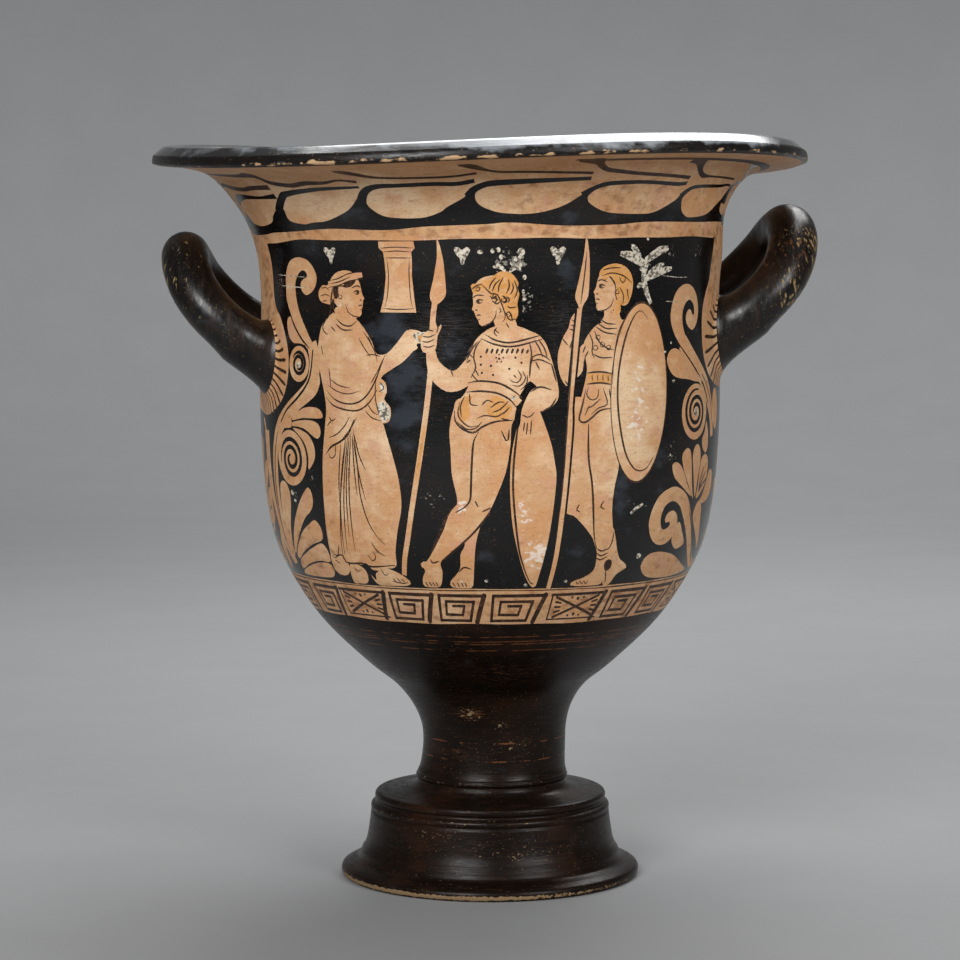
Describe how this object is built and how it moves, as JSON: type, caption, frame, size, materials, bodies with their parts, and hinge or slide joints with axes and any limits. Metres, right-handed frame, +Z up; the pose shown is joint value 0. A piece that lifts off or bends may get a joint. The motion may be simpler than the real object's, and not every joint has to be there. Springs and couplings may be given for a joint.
{
  "type": "bell krater",
  "caption": "Bell krater: deep open bowl with a flaring neck and an overhanging lip, upswept loop handles, a short stem and a moulded foot.",
  "frame": {"origin": "centre of the foot's underside, on the surface the krater stands on", "axes": "+Z up along the krater's axis; the main picture faces -Y; the handles are at -X and +X"},
  "size_m": [0.3526, 0.3458, 0.3926],
  "materials": {
    "krater": "fired orange clay under burnished black gloss slip, with reserved clay ornament"
  },
  "bodies": {
    "root": {"krater": "krater"}
  },
  "joints": []
}
